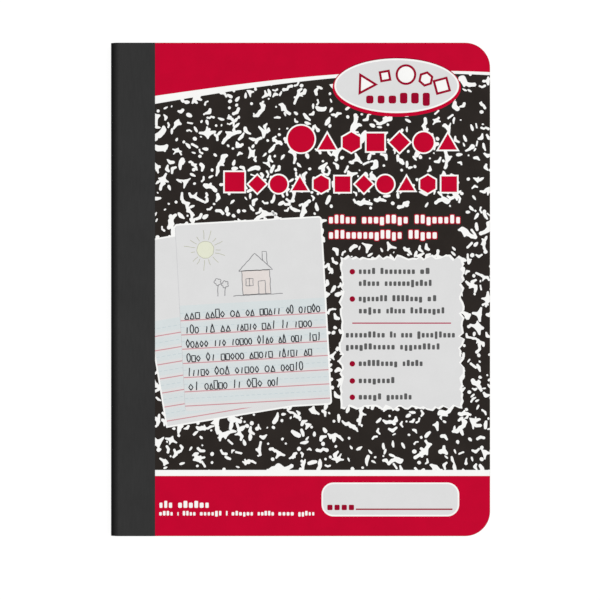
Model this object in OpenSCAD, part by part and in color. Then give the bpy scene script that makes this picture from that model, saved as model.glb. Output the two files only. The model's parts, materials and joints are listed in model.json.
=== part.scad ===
// Composition notebook, lying on its back cover with the front cover up.
// +X runs from the spine to the fore edge, +Y to the head, and Z = 0 is the surface that it lies on.

/* [Book] */
// Width of the closed book, from the back of the spine to the fore edge
book_w = 190.5; // [150:0.5:230]
// Height of the book, from tail to head
book_h = 247.65; // [235:0.05:300]
// Radius of the two round corners at the fore edge
corner_r = 12.5; // [3:0.5:20]

/* [Pages] */
// Number of leaves, each half of a folded sheet
leaves = 100; // [60:2:160]
// Thickness of one leaf
leaf_t = 0.085; // [0.06:0.005:0.12]
// Number of folds drawn between the middle of the block and its outside, at the cut edges
fold_lines = 5; // [2:1:7]
// Height of the gap between two gatherings of leaves
fold_gap = 0.1; // [0.05:0.01:0.15]
// Depth of that gap, in from the head, the tail and the fore edge
fold_depth = 0.3; // [0.1:0.05:1]

/* [Covers] */
// Thickness of each cover board
board_t = 0.8; // [0.5:0.05:1.6]
// Thickness of the endpaper pasted inside each board
endpaper_t = 0.12; // [0.08:0.01:0.3]
// Distance from the back of the spine to the spine edge of each board, where the cover hinges
hinge_in = 3.75; // [3:0.05:4.5]

/* [Tape] */
// Thickness of the cloth tape
tape_t = 0.2; // [0.1:0.02:0.4]
// How far the tape reaches over each cover, from the back of the spine
tape_reach = 22.35; // [12:0.05:30]
// Glue line between the tape and the folds of the pages
glue_gap = 0.1; // [0.05:0.01:0.2]

/* [Sewing] */
// Diameter of the thread along the back of the folds and along the middle opening
thread_d = 0.6; // [0.4:0.05:0.8]
// Diameter of the thread where it passes through the folds
stitch_d = 0.45; // [0.3:0.05:0.55]
// Distance between two stitch holes
stitch_pitch = 8; // [6:0.5:14]
// Distance from the head and the tail to the ends of the seam
seam_margin = 7; // [3:0.5:20]
// Clearance of the thread in its holes
thread_gap = 0.06; // [0.04:0.01:0.1]

/* [Print] */
// Thickness of the printed fields
print_t = 0.1; // [0.05:0.01:0.15]
// Width of the bare white line round each label and each title shape
outline_w = 0.8; // [0.4:0.1:0.9]
// Width of the bare border of the marbled field along the cut edges
edge_w = 0; // [0:0.1:2]

/* [Marble] */
// Distance between two white flecks
fleck_pitch = 12.5; // [12.4:0.1:16]
// Length of a white fleck
fleck_l = 11.5; // [6:0.1:11.9]
// Width of a white fleck
fleck_w = 5.6; // [2:0.1:7]
// Least distance from a fleck to the edge of its cell and to a label
fleck_clear = 0.25; // [0.1:0.05:0.4]
// Share of its full reach that a fleck's corner has at least
fleck_least = 0.5; // [0.3:0.05:1]
// Number of corners of a fleck
fleck_corners = 6; // [5:1:7]
// Seed of the flecks
fleck_seed = 7; // [1:1:99]

/* [Bands] */
// Depth of the red band at the head, beside the tape
head_band_h = 26.7; // [22:0.1:30]
// How far the band's lower edge rises on its way to the fore edge
head_band_rise = 12.6; // [6:0.1:14]
// Depth of the white stripe under the band, beside the tape
head_stripe_h = 4; // [3:0.1:6]
// How much of that depth the stripe loses on its way to the fore edge
head_stripe_taper = 2.6; // [0:0.1:2.7]
// Height of the red band at the tail
tail_band_h = 30.2; // [24:0.1:32]
// Height of the white stripe over it
tail_stripe_h = 3; // [1:0.1:5]

/* [Oval label] */
// Width of the oval
oval_w = 63; // [50:0.5:70]
// Height of the oval
oval_h = 28.1; // [20:0.1:30]
// Distance from its centre to the fore edge
oval_from_fore = 46.85; // [40:0.05:55]
// Distance from its centre to the head
oval_from_head = 21.3; // [19:0.1:24]
// Width of the red ring round it
oval_ring_w = 1.6; // [0.5:0.1:3]
// Number of sides that the oval is drawn with
oval_sides = 48; // [24:4:72]

/* [Title] */
// Distance from the right ends of both rows to the fore edge
title_from_fore = 15.2; // [12:0.1:25]
// Number of shapes in the first row
title_1_count = 7; // [3:1:9]
// Number of shapes in the second row
title_2_count = 11; // [5:1:12]
// Distance between two shapes in the first row
title_1_pitch = 12.1; // [11.8:0.1:14]
// Distance between two shapes in the second row
title_2_pitch = 10.7; // [10.6:0.1:12]
// Height of the shapes in the first row
title_1_h = 9.8; // [8:0.1:9.9]
// Height of the shapes in the second row
title_2_h = 8.6; // [7:0.1:8.7]
// Distance from the middle of the first row to the head
title_1_from_head = 47.9; // [46:0.1:50]
// Distance from the middle of the second row to the head
title_2_from_head = 69.4; // [65:0.1:71]
// Height of the two white bars under the title
subtitle_h = 3.4; // [2:0.1:5]
// Length of the first bar
subtitle_1_l = 65.8; // [30:0.1:70]
// Length of the second bar
subtitle_2_l = 54.2; // [30:0.1:70]
// Distance from the first bar to the head
subtitle_from_head = 88.8; // [86:0.1:92]
// Distance from one bar to the next
subtitle_pitch = 7.6; // [6:0.1:9]

/* [Torn panel] */
// Width of the panel
panel_w = 58.9; // [55:0.1:70]
// Height of the panel
panel_h = 74.8; // [72:0.1:82]
// Distance from its centre to the fore edge
panel_from_fore = 44.5; // [42:0.1:48]
// Distance from its centre to the tail
panel_from_tail = 102.1; // [98:0.1:104]
// Distance from its left edge to the rows of words
words_in = 7.9; // [7.5:0.1:10]
// Distance from its left edge to the bullets
bullet_in = 4.8; // [4:0.1:5.5]
// Distance between two corners of its torn edge
tear_pitch = 6; // [4:0.5:10]
// How far the torn edge wanders
tear_depth = 1.2; // [0.2:0.1:2]
// Radius of a red bullet
bullet_r = 1.4; // [0.8:0.1:1.8]
// Height of a bar that stands for a row of words
words_h = 2.4; // [1.5:0.1:3.5]

/* [Sample sheets] */
// Width of a sheet
sheet_w = 72.8; // [60:0.1:76]
// Height of a sheet
sheet_h = 93.2; // [86:0.1:98]
// Turn of the upper sheet
sheet_1_turn = 3.2; // [0:0.1:5]
// Turn of the lower sheet
sheet_2_turn = 9.5; // [7:0.1:12]
// Distance from the upper sheet's centre to the tape
sheet_1_from_tape = 49.1; // [46:0.1:52]
// Distance from the lower sheet's centre to the tape
sheet_2_from_tape = 34.5; // [31:0.1:36]
// Distance from the upper sheet's centre to the tail
sheet_1_from_tail = 111.3; // [108:0.1:114]
// Distance from the lower sheet's centre to the tail
sheet_2_from_tail = 107.2; // [104:0.1:109]
// Distance between two ruled red lines
rule_pitch = 7.15; // [6:0.05:8]
// Width of a ruled red line
rule_w = 0.5; // [0.3:0.1:1]
// Number of ruled red lines on a sheet
rules = 7; // [3:1:9]
// Distance from the lowest ruled line to the bottom of the sheet
rule_foot = 2.5; // [2:0.5:12]

/* [Name label] */
// Width of the label
name_w = 67.5; // [60:0.1:75]
// Height of the label
name_h = 15.4; // [14:0.1:20]
// Radius of its corners
name_r = 5.2; // [2:0.1:6.5]
// Distance from its centre to the fore edge
name_from_fore = 50.05; // [45:0.05:55]
// Distance from its centre to the tail
name_from_tail = 18.4; // [15:0.1:19]
// Length of the writing line
name_line_l = 48.5; // [30:0.1:49]
// Width of the writing line
name_line_w = 0.5; // [0.3:0.1:1]
// Distance from its right end to the label's right edge
name_line_in = 2.6; // [2:0.1:3]
// How far it lies under the label's centre
name_line_down = 4.9; // [3:0.1:5.5]
// Length of the bar that stands for the word beside it
name_word_l = 12.5; // [5:0.1:13]
// Height of that bar
name_word_h = 2.4; // [1:0.1:3]
// Distance from that bar to the label's left edge
name_word_in = 2.4; // [2:0.1:2.6]

/* [Tail bars] */
// Distance from the tape to the two white bars on the tail band
tail_bar_in = 2; // [1:0.1:4]
// Length of the upper bar
tail_bar_1_l = 25.3; // [15:0.1:40]
// Height of the upper bar
tail_bar_1_h = 2.6; // [1.5:0.1:3]
// Distance from the tail to the upper bar
tail_bar_1_up = 14.5; // [13.5:0.1:20]
// Height of the lower bar
tail_bar_2_h = 1.7; // [1:0.1:2]
// Distance from the tail to the lower bar
tail_bar_2_up = 10.5; // [8:0.1:11]
// Distance from the lower bar's end to the name label
tail_bar_2_gap = 4.4; // [2:0.1:30]

/* [Hidden] */
$fn = 64;

black = "#2b2926";
red = "#c20430";
grey = "#dedede";
white = "#f4f4f2";
leaf_white = "#f1efe8";
tape_black = "#353535";

block_t = leaves * leaf_t;
cover_t = endpaper_t + board_t + tape_t;
total_t = block_t + 2 * cover_t;
mid_z = total_t / 2;

spine_x = -book_w / 2;
fore_x = book_w / 2;
head_y = book_h / 2;
tail_y = -book_h / 2;
hinge_x = spine_x + hinge_in;
tape_x = spine_x + tape_reach;

// The outer face of the tape is an arc through both hinges and the back of the spine.
tape_r = (pow(mid_z, 2) + pow(hinge_in, 2)) / (2 * hinge_in);
tape_cx = spine_x + tape_r;

// The folds of the pages are half rounds about one centre.
fold_r = block_t / 2;
fold_cx = spine_x + tape_t + glue_gap + fold_r;

front_board_z = total_t - tape_t - board_t;
front_paper_z = front_board_z - endpaper_t;
back_board_z = tape_t;
back_paper_z = tape_t + board_t;
front_print_z = total_t - tape_t;
back_print_z = tape_t - print_t;

seam_l = stitch_pitch * floor((book_h - 2 * seam_margin) / stitch_pitch);
seam_x = spine_x + tape_t + glue_gap + thread_d / 2;

overshoot = 1;

field_w = fore_x - tape_x;
panel_x = fore_x - panel_from_fore;
panel_y = tail_y + panel_from_tail;
panel_left = panel_x - panel_w / 2;
oval_x = fore_x - oval_from_fore;
oval_y = head_y - oval_from_head;
title_x = fore_x - title_from_fore;
subtitle_x = title_x - max(subtitle_1_l, subtitle_2_l);
sheet_1_at = [tape_x + sheet_1_from_tape, tail_y + sheet_1_from_tail];
sheet_2_at = [tape_x + sheet_2_from_tape, tail_y + sheet_2_from_tail];
name_x = fore_x - name_from_fore;
name_y = tail_y + name_from_tail;
name_left = name_x - name_w / 2;
name_right = name_x + name_w / 2;

// Angle that the head band's edge covers of its wave
band_wave = 109;

// Reach of the square and of the triangle against a title shape's height, and how far the triangle sits down
square_share = 0.88;
triangle_share = 0.52;
triangle_drop = 0.1;

// Plain margins beside and under the two bars under the title
subtitle_side = 2;
subtitle_foot = 1;

// Rows of words on the panel: height over its centre, share of its width, and whether a bullet leads the row
word_rows = [[30.6, 0.616, true], [24.6, 0.633, false], [16.9, 0.676, true], [10.8, 0.742, false],
    [-1.3, 0.789, false], [-7.3, 0.679, false], [-15.6, 0.555, true], [-24.2, 0.316, true],
    [-32.4, 0.462, true]];

// Height of the thin red line over the panel's centre, and its share of the panel's width
divider_up = 4.8;
divider_share = 0.844;

// Rectangle of the book's plan from x0 to the fore edge, with the two round corners, drawn in by inset.
module plan(x0, inset = 0) {
    r = max(corner_r - inset, 0.1);
    x1 = fore_x - inset;
    y1 = head_y - inset;
    difference() {
        translate([x0, -y1]) square([x1 - x0, 2 * y1]);
        for (side = [-1, 1])
            difference() {
                translate([x1 - r, side * y1 - (side > 0 ? r : overshoot)])
                    square([r + overshoot, r + overshoot]);
                translate([x1 - r, side * (y1 - r)]) circle(r);
            }
    }
}

// Extrudes a profile drawn in X and Z over the book's whole height.
module along_spine(length = book_h) {
    translate([0, 0, mid_z]) rotate([90, 0, 0]) linear_extrude(length, center = true) children();
}

// A folded sheet seen from the head: a half round with two straight leaves, gap wide.
module fold_profile(r, gap) {
    difference() {
        translate([fold_cx, 0]) circle(r + gap / 2);
        translate([fold_cx, 0]) circle(r - gap / 2);
        translate([fold_cx, -fold_r - overshoot]) square([2 * fold_r, 2 * (fold_r + overshoot)]);
    }
    for (side = [-1, 1])
        translate([fold_cx, side * r - gap / 2]) square([book_w, gap]);
}

// The strip along the head, the tail and the fore edge that the gaps between the leaves are cut into.
module cut_edges() {
    linear_extrude(total_t)
        difference() {
            translate([spine_x - overshoot, tail_y - overshoot])
                square([book_w + 2 * overshoot, book_h + 2 * overshoot]);
            plan(spine_x - 2 * overshoot, fold_depth);
        }
}

// The seam: a thread along the back of the folds, one along the middle opening, and the stitches between them.
module seam(extra) {
    for (x = [seam_x, fold_cx])
        translate([x, 0, mid_z]) rotate([90, 0, 0])
            cylinder(d = thread_d + 2 * extra, h = seam_l + thread_d + 2 * extra, center = true);
    for (y = [-seam_l / 2 : stitch_pitch : seam_l / 2])
        translate([seam_x, y, mid_z]) rotate([0, 90, 0])
            cylinder(d = stitch_d + 2 * extra, h = fold_cx - seam_x);
}

module page_block() {
    color(leaf_white)
        difference() {
            intersection() {
                translate([0, 0, cover_t]) linear_extrude(block_t) plan(spine_x);
                along_spine(book_h + 2 * overshoot)
                    difference() {
                        translate([spine_x, -fold_r]) square([book_w, block_t]);
                        difference() {
                            translate([spine_x - overshoot, -fold_r - overshoot])
                                square([fold_cx - spine_x + overshoot, block_t + 2 * overshoot]);
                            translate([fold_cx, 0]) circle(fold_r);
                        }
                    }
            }
            intersection() {
                cut_edges();
                along_spine(book_h + 2 * overshoot)
                    for (i = [1 : fold_lines])
                        fold_profile(fold_r * i / (fold_lines + 1), fold_gap);
            }
            intersection() {
                cut_edges();
                translate([fold_cx, tail_y - overshoot, mid_z - fold_gap / 2])
                    cube([book_w, book_h + 2 * overshoot, fold_gap]);
            }
            seam(thread_gap);
        }
}

module sewing_thread() {
    color(white) seam(0);
}

module spine_tape() {
    color(tape_black)
        along_spine()
            difference() {
                translate([tape_cx, 0]) circle(tape_r);
                translate([tape_cx, 0]) circle(tape_r - tape_t);
                translate([hinge_x, -tape_r - overshoot]) square(2 * (tape_r + overshoot));
            }
}

module tape_lap(z) {
    color(tape_black)
        translate([hinge_x, tail_y, z]) cube([tape_x - hinge_x, book_h, tape_t]);
}

module front_tape() {
    tape_lap(total_t - tape_t);
}

module back_tape() {
    tape_lap(0);
}

module board(z, thickness, tint) {
    color(tint) translate([0, 0, z]) linear_extrude(thickness) plan(hinge_x);
}

module front_cover() {
    board(front_board_z, board_t, white);
}

module back_cover() {
    board(back_board_z, board_t, white);
}

module front_endpaper() {
    board(front_paper_z, endpaper_t, leaf_white);
}

module back_endpaper() {
    board(back_paper_z, endpaper_t, leaf_white);
}

// The printed field lies between the tape and the cut edges.
module field() {
    plan(tape_x, edge_w);
}

// Height of an edge of the head band at x: it rises like the first quarter of a wave.
function band_edge(x, depth, rise) = head_y - depth + rise * sin(band_wave * (x - tape_x) / field_w);

band_steps = 24;

// What lies above an edge of the head band
module above(depth, rise) {
    polygon(concat(
        [for (i = [0 : band_steps]) let (x = tape_x + field_w * i / band_steps)
            [x + (i == band_steps ? overshoot : 0) - (i == 0 ? overshoot : 0), band_edge(x, depth, rise)]],
        [[fore_x + overshoot, head_y + overshoot], [tape_x - overshoot, head_y + overshoot]]));
}

module below(height) {
    translate([tape_x - overshoot, tail_y - overshoot])
        square([field_w + 2 * overshoot, height + overshoot]);
}

module oval(extra = 0) {
    translate([oval_x, oval_y])
        polygon([for (i = [0 : oval_sides - 1]) let (a = 360 * i / oval_sides)
            [(oval_w / 2 + extra) * cos(a), (oval_h / 2 + extra) * sin(a)]]);
}

// The title's shapes in turn: disc, square, triangle, diamond and hexagon, each grown by extra on all sides
module title_shape(kind, size, extra) {
    if (kind == 0) circle(size / 2 + extra);
    else if (kind == 1) square(square_share * size + 2 * extra, center = true);
    else if (kind == 2)
        translate([0, -triangle_drop * size]) rotate(90) circle(triangle_share * size + 2 * extra, $fn = 3);
    else if (kind == 3) circle(size / 2 + extra / cos(45), $fn = 4);
    else rotate(30) circle(size / 2 + extra / cos(30), $fn = 6);
}

module title_row(count, pitch, size, from_head, extra) {
    for (i = [0 : count - 1])
        translate([title_x - pitch * (i + 0.5), head_y - from_head])
            title_shape((3 * i + count) % 5, size, extra);
}

module title(extra = 0) {
    title_row(title_1_count, title_1_pitch, title_1_h, title_1_from_head, extra);
    title_row(title_2_count, title_2_pitch, title_2_h, title_2_from_head, extra);
}

module subtitle() {
    for (row = [0, 1])
        translate([subtitle_x, head_y - subtitle_from_head - row * subtitle_pitch - subtitle_h / 2])
            square([row == 0 ? subtitle_1_l : subtitle_2_l, subtitle_h]);
}

// The torn edge wanders in and out of a rectangle, and starts afresh at each corner.
tear_across = floor(panel_w / tear_pitch);
tear_up = floor(panel_h / tear_pitch);
tear = rands(-tear_depth, tear_depth, 2 * (tear_across + tear_up), fleck_seed);

module panel(extra = 0) {
    w = panel_w / 2 + extra;
    h = panel_h / 2 + extra;
    translate([panel_x, panel_y])
        polygon(concat(
            [for (i = [0 : tear_across - 1]) [-w + 2 * w * i / tear_across, -h + tear[i]]],
            [for (i = [0 : tear_up - 1]) [w + tear[tear_across + i], -h + 2 * h * i / tear_up]],
            [for (i = [0 : tear_across - 1])
                [w - 2 * w * i / tear_across, h + tear[tear_across + tear_up + i]]],
            [for (i = [0 : tear_up - 1])
                [-w + tear[2 * tear_across + tear_up + i], h - 2 * h * i / tear_up]]));
}

module word_bars() {
    for (row = word_rows)
        translate([panel_left + words_in, panel_y + row[0] - words_h / 2]) square([row[1] * panel_w, words_h]);
}

module bullets() {
    for (row = word_rows)
        if (row[2]) translate([panel_left + bullet_in, panel_y + row[0]]) circle(bullet_r);
    translate([panel_x - divider_share * panel_w / 2, panel_y + divider_up - rule_w / 2])
        square([divider_share * panel_w, rule_w]);
}

module sheet(at, turn, extra = 0) {
    translate(at) rotate(turn) square([sheet_w + 2 * extra, sheet_h + 2 * extra], center = true);
}

// What shows of the lower sheet beside the tape and under the upper one
module lower_sheet() {
    difference() {
        sheet(sheet_2_at, sheet_2_turn);
        sheet(sheet_1_at, sheet_1_turn, outline_w);
        translate([tape_x - sheet_w, tail_y]) square([sheet_w, book_h]);
    }
}

module ruled_lines(at, turn) {
    translate(at) rotate(turn)
        for (i = [0 : rules - 1])
            translate([-sheet_w / 2, -sheet_h / 2 + rule_foot + i * rule_pitch]) square([sheet_w, rule_w]);
}

module name_label(extra = 0) {
    r = name_r + extra;
    w = name_w / 2 + extra;
    h = name_h / 2 + extra;
    translate([name_x, name_y])
        difference() {
            square([2 * w, 2 * h], center = true);
            for (sx = [-1, 1], sy = [-1, 1])
                difference() {
                    translate([sx * (w - r / 2 + overshoot / 2), sy * (h - r / 2 + overshoot / 2)])
                        square(r + overshoot, center = true);
                    translate([sx * (w - r), sy * (h - r)]) circle(r);
                }
        }
}

module name_line() {
    translate([name_right - name_line_in - name_line_l, name_y - name_line_down])
        square([name_line_l, name_line_w]);
}

module name_word() {
    translate([name_left + name_word_in, name_y - name_line_down]) square([name_word_l, name_word_h]);
}

// Two white bars on the tail band, the lower one as far as the name label
module tail_bars() {
    translate([tape_x + tail_bar_in, tail_y + tail_bar_1_up]) square([tail_bar_1_l, tail_bar_1_h]);
    translate([tape_x + tail_bar_in, tail_y + tail_bar_2_up])
        square([name_left - tail_bar_2_gap - tape_x - tail_bar_in, tail_bar_2_h]);
}

// The bands at the head and the tail with their white stripes
module banded() {
    above(head_band_h + head_stripe_h, head_band_rise + head_stripe_taper);
    below(tail_band_h + tail_stripe_h);
}

// What lies over the torn panel
module over_panel() {
    banded();
    title(outline_w);
    subtitle();
}

// What lies over the sample sheets
module over_sheets() {
    over_panel();
    panel(outline_w);
}

// Point p as seen from a plain area [centre, half width, half height, turn]
function from_area(p, area) =
    let (x = p[0] - area[0][0], y = p[1] - area[0][1], turn = area[3])
        [x * cos(turn) + y * sin(turn), y * cos(turn) - x * sin(turn)];

function inside(p, area) =
    let (q = from_area(p, area)) abs(q[0]) < area[1] + fleck_clear && abs(q[1]) < area[2] + fleck_clear;

// True where a corner of the fleck falls on one of the plain areas
function covered(points, areas) =
    len([for (p = points, area = areas) if (inside(p, area)) 1]) > 0;

// Corners of a fleck about p, from a list of chances that starts with its turn
function fleck(p, chance) =
    [for (i = [0 : fleck_corners - 1])
        let (a = 360 * i / fleck_corners,
            turn = 180 * chance[0],
            reach = fleck_least + (1 - fleck_least) * chance[1 + i],
            x = fleck_l / 2 * reach * cos(a),
            y = fleck_w / 2 * reach * sin(a))
            [p[0] + x * cos(turn) - y * sin(turn), p[1] + x * sin(turn) + y * cos(turn)]];

// White flecks of the marble pattern, one in each cell of a loose grid, each clear of the plain areas
module flecks(y0, y1, areas, seed) {
    columns = floor(field_w / fleck_pitch);
    rows = floor((y1 - y0) / fleck_pitch);
    step = [field_w / columns, (y1 - y0) / rows];
    draws = fleck_corners + 3;
    for (row = [0 : rows - 1], column = [0 : columns - 1]) {
        chance = rands(0, 1, draws, seed * 1000 + row * columns + column);
        slide = [for (k = [0, 1]) (step[k] - fleck_l - 2 * fleck_clear) * (chance[k] - 0.5)];
        p = [tape_x + step[0] * (column + 0.5) + slide[0], y0 + step[1] * (row + 0.5) + slide[1]];
        points = fleck(p, [for (k = [2 : draws - 1]) chance[k]]);
        if (!covered(points, areas)) polygon(points);
    }
}

front_areas = [
    [[oval_x, oval_y], oval_w / 2 + oval_ring_w, oval_h / 2 + oval_ring_w, 0],
    [[title_x - title_1_count * title_1_pitch / 2, head_y - title_1_from_head],
        title_1_count * title_1_pitch / 2, title_1_h / 2 + outline_w, 0],
    [[title_x - title_2_count * title_2_pitch / 2, head_y - title_2_from_head],
        title_2_count * title_2_pitch / 2, title_2_h / 2 + outline_w, 0],
    [[subtitle_x + subtitle_1_l / 2, head_y - subtitle_from_head - subtitle_pitch / 2],
        subtitle_1_l / 2 + subtitle_side, subtitle_pitch + subtitle_foot, 0],
    [[panel_x, panel_y], panel_w / 2 + tear_depth + outline_w, panel_h / 2 + tear_depth + outline_w, 0],
    [sheet_1_at, sheet_w / 2 + outline_w, sheet_h / 2 + outline_w, sheet_1_turn],
    [sheet_2_at, sheet_w / 2 + outline_w, sheet_h / 2 + outline_w, sheet_2_turn]];

module front_black_print() {
    color(black) translate([0, 0, front_print_z])
        linear_extrude(print_t) {
            difference() {
                field();
                over_sheets();
                oval(oval_ring_w + 2 * outline_w);
                sheet(sheet_1_at, sheet_1_turn, outline_w);
                sheet(sheet_2_at, sheet_2_turn, outline_w);
                flecks(tail_y + tail_band_h + tail_stripe_h, head_y - head_band_h - head_stripe_h,
                    front_areas, fleck_seed);
            }
            difference() {
                word_bars();
                over_panel();
            }
            name_word();
        }
}

module front_red_print() {
    color(red) translate([0, 0, front_print_z]) {
        linear_extrude(print_t)
            difference() {
                field();
                difference() {
                    translate([tape_x - overshoot, tail_y + tail_band_h])
                        square([field_w + 2 * overshoot, book_h]);
                    above(head_band_h, head_band_rise);
                }
                oval(oval_ring_w + outline_w);
                name_label(outline_w);
                tail_bars();
            }
        linear_extrude(print_t) difference() {
            oval(oval_ring_w + outline_w);
            oval(outline_w);
        }
        linear_extrude(print_t) title();
        linear_extrude(print_t) name_line();
        linear_extrude(print_t) difference() {
            bullets();
            over_panel();
        }
        linear_extrude(print_t) difference() {
            ruled_lines(sheet_1_at, sheet_1_turn);
            over_sheets();
        }
    }
}

module front_grey_print() {
    color(grey) translate([0, 0, front_print_z])
        linear_extrude(print_t) {
            oval();
            difference() {
                panel();
                word_bars();
                bullets();
                over_panel();
            }
            difference() {
                sheet(sheet_1_at, sheet_1_turn);
                ruled_lines(sheet_1_at, sheet_1_turn);
                over_sheets();
            }
            difference() {
                lower_sheet();
                over_sheets();
            }
            difference() {
                name_label();
                name_line();
                name_word();
            }
        }
}

module back_black_print() {
    color(black) translate([0, 0, back_print_z])
        linear_extrude(print_t)
            difference() {
                field();
                flecks(tail_y, head_y, [], fleck_seed + 1);
            }
}

page_block();
sewing_thread();
spine_tape();
front_tape();
back_tape();
front_cover();
back_cover();
front_endpaper();
back_endpaper();
front_black_print();
front_red_print();
front_grey_print();
back_black_print();
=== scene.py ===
import json
import random
from math import atan2, ceil, copysign, cos, exp, hypot, log, pi, radians, sin, sqrt, tau

import bmesh
import bpy
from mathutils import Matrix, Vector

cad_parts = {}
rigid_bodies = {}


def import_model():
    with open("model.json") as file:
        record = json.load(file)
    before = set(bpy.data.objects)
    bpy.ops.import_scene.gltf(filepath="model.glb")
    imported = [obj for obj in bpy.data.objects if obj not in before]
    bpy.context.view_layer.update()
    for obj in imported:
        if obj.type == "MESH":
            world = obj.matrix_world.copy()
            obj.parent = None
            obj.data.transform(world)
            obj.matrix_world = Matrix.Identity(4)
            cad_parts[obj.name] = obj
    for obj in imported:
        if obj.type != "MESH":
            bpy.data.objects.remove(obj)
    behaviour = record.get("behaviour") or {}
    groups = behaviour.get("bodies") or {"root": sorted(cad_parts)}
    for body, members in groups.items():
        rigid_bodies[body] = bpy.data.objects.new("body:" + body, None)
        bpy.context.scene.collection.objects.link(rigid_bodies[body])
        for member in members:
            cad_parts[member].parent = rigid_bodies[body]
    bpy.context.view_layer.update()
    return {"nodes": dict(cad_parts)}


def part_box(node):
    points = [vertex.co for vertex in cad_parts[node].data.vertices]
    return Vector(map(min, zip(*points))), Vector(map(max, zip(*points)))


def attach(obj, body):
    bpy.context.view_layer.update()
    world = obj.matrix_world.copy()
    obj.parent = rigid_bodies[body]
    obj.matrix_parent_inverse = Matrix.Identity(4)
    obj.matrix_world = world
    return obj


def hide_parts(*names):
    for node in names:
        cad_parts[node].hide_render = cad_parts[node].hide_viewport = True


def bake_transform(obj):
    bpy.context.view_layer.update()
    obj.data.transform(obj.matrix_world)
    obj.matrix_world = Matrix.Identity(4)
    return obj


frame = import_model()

# A composition notebook lying on its back cover, seen from straight above.
# Lengths are millimetres until a mesh is made. +X runs from the spine to the fore edge, and +Y to the head.

MM = 0.001


def mm_box(node):
    low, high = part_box(node)
    return low / MM, high / MM


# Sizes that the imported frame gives

LAP_LOW, LAP_HIGH = mm_box("front_tape")
BOARD_LOW, BOARD_HIGH = mm_box("front_cover")
BACK_LOW, BACK_HIGH = mm_box("back_cover")
BLOCK_LOW, BLOCK_HIGH = mm_box("page_block")

SPINE_X = mm_box("spine_tape")[0].x
HINGE_X = BOARD_LOW.x
TAPE_X = LAP_HIGH.x
FORE_X = BOARD_HIGH.x
HEAD_Y = BOARD_HIGH.y
TAIL_Y = BOARD_LOW.y
TOP_Z = LAP_HIGH.z
MID_Z = TOP_Z / 2
TAPE_T = LAP_HIGH.z - LAP_LOW.z
FIELD_W = FORE_X - TAPE_X
UNDER_TAPE = 1.0
PRINT_X = TAPE_X - UNDER_TAPE

# Sizes of the book itself

CORNER_R = 12.5
SHEETS = 50
SHEET_SHARE = 0.86
PAPER_T = 0.04
EDGE_WEAR = 0.1
INNER_WEAR = 0.04
LEVEL = 0.015
WHITE = (1.0, 1.0, 1.0, 1.0)

# The tape's outer face is an arc through both hinges and the back of the spine. The folds share one centre.

TAPE_R = (MID_Z ** 2 + (HINGE_X - SPINE_X) ** 2) / (2 * (HINGE_X - SPINE_X))
FOLD_R = (BLOCK_HIGH.z - BLOCK_LOW.z) / 2
FOLD_X = BLOCK_LOW.x + FOLD_R
SHEET_PITCH = FOLD_R / SHEETS

# Heights of the printed ground on either cover, and of the foot of the inks on the front

FRONT_GROUND = BOARD_HIGH.z + PAPER_T
INK_FOOT = FRONT_GROUND - LEVEL
BACK_GROUND = BACK_LOW.z - PAPER_T


# Nodes written as arithmetic

def operator(operation, swapped=False):
    """A method that puts a Math node behind one of Value's operators."""
    def method(self, *others):
        terms = (*others, self) if swapped else (self, *others)
        return self.graph.math(operation, *terms)
    return method


class Value:
    """A number carried by a socket. Arithmetic on it adds Math nodes."""

    def __init__(self, graph, socket):
        self.graph = graph
        self.socket = socket

    __add__, __radd__ = operator("ADD"), operator("ADD", True)
    __sub__, __rsub__ = operator("SUBTRACT"), operator("SUBTRACT", True)
    __mul__, __rmul__ = operator("MULTIPLY"), operator("MULTIPLY", True)
    __lt__, __gt__ = operator("LESS_THAN"), operator("GREATER_THAN")
    __mod__, __abs__ = operator("FLOORED_MODULO"), operator("ABSOLUTE")


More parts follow.
